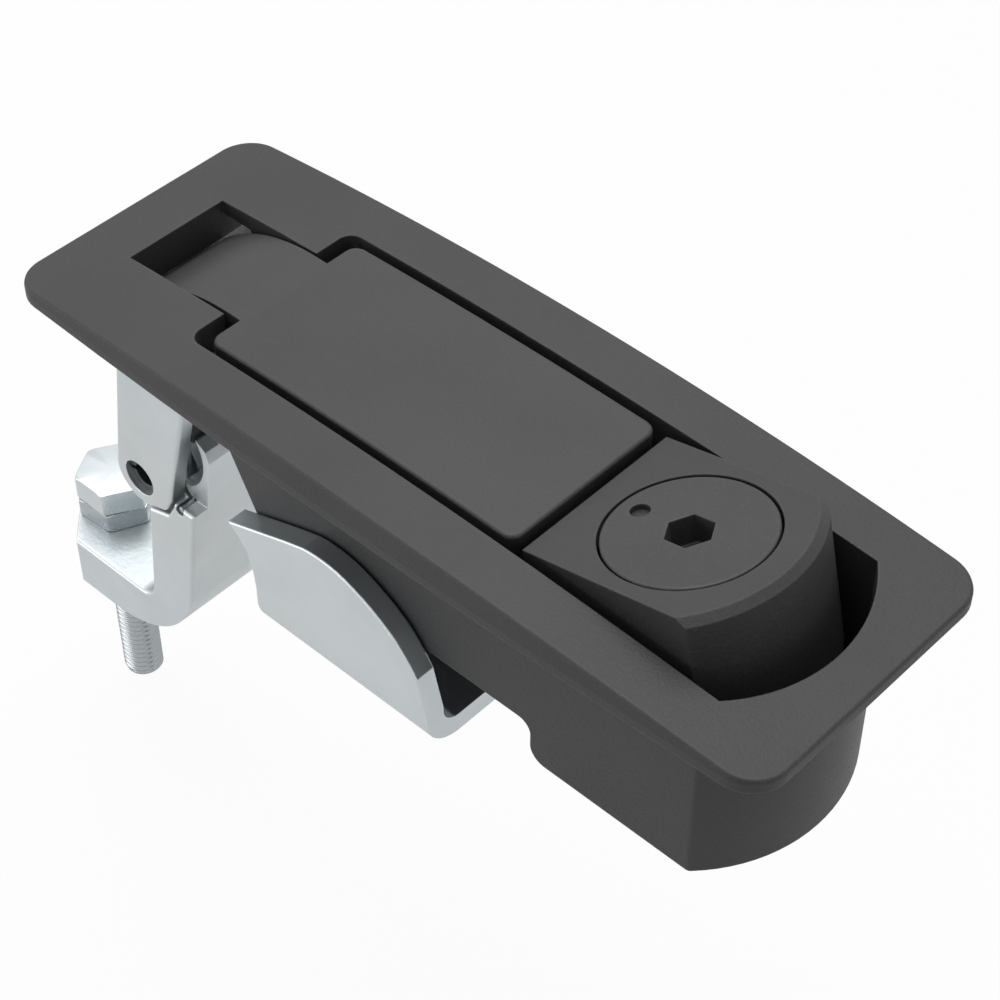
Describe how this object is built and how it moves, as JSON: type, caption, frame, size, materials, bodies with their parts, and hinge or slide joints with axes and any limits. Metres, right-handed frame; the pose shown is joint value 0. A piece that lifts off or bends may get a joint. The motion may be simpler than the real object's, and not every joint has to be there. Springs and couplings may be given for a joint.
{
  "type": "lever compression latch",
  "caption": "Flush panel latch: pressing the locking push button frees the lever, which swings a sprung pawl with an adjustable clamping bolt.",
  "frame": {"origin": "centre of the bezel's underside, which lies on the face of the panel", "axes": "+X along the bezel from the pawl's end to the push button, +Z out of the panel, +Y across the bezel"},
  "size_m": [0.1323, 0.041, 0.1033],
  "materials": {
    "black_casting": "fine-textured matte black powder coat on zinc",
    "black_plug": "smooth satin black coat on zinc",
    "zinc_casting": "bright zinc-plated casting",
    "zinc_steel": "bright zinc-plated steel",
    "pin_steel": "darker plain steel",
    "spring_steel": "drawn spring wire"
  },
  "bodies": {
    "housing": {"pan": "black_casting", "clamp_bracket": "zinc_steel", "clamp_screw": "zinc_steel", "clamp_washer": "zinc_steel", "lever_pin": "pin_steel", "lever_pin_ring": "pin_steel", "button_pin": "pin_steel", "button_spring": "spring_steel"},
    "lever": {"lever": "black_casting", "arm_near": "zinc_steel", "arm_far": "zinc_steel", "drive_pin": "pin_steel", "pawl_pin": "pin_steel"},
    "pawl": {"pawl": "zinc_casting", "jam_nut": "zinc_steel", "pawl_springs": "spring_steel"},
    "bolt": {"adjusting_bolt": "zinc_steel"},
    "button": {"button": "black_casting"},
    "plug": {"lock_plug": "black_plug", "plug_ring": "pin_steel", "lock_cam": "zinc_steel", "cam_screw": "zinc_steel"}
  },
  "joints": [
    {"name": "lever_pivot", "type": "hinge", "parent": "housing", "child": "lever", "pos_m": [-0.0408, 0, -0.0086], "axis": [0, -1, 0], "range_deg": [0, 42]},
    {"name": "pawl_pivot", "type": "hinge", "parent": "lever", "child": "pawl", "pos_m": [-0.0513, 0, -0.0355], "axis": [0, -1, 0], "range_deg": [-30, 0], "stiffness_Nm_per_rad": 0.05, "springref_deg": 34.38},
    {"name": "bolt_adjust", "type": "slide", "parent": "pawl", "child": "bolt", "axis": [0, 0, 1], "range_m": [0, 0.02]},
    {"name": "button_press", "type": "hinge", "parent": "housing", "child": "button", "pos_m": [0.0223, 0, -0.0112], "axis": [0, 1, 0], "range_deg": [0, 13.4], "stiffness_Nm_per_rad": 0.15, "springref_deg": -22.92, "deforming": ["button_spring"]},
    {"name": "plug_turn", "type": "hinge", "parent": "button", "child": "plug", "pos_m": [0.03178, 0, 0.00637], "axis": [-0.2317, 0, 0.9728], "range_deg": [-90, 0]}
  ]
}
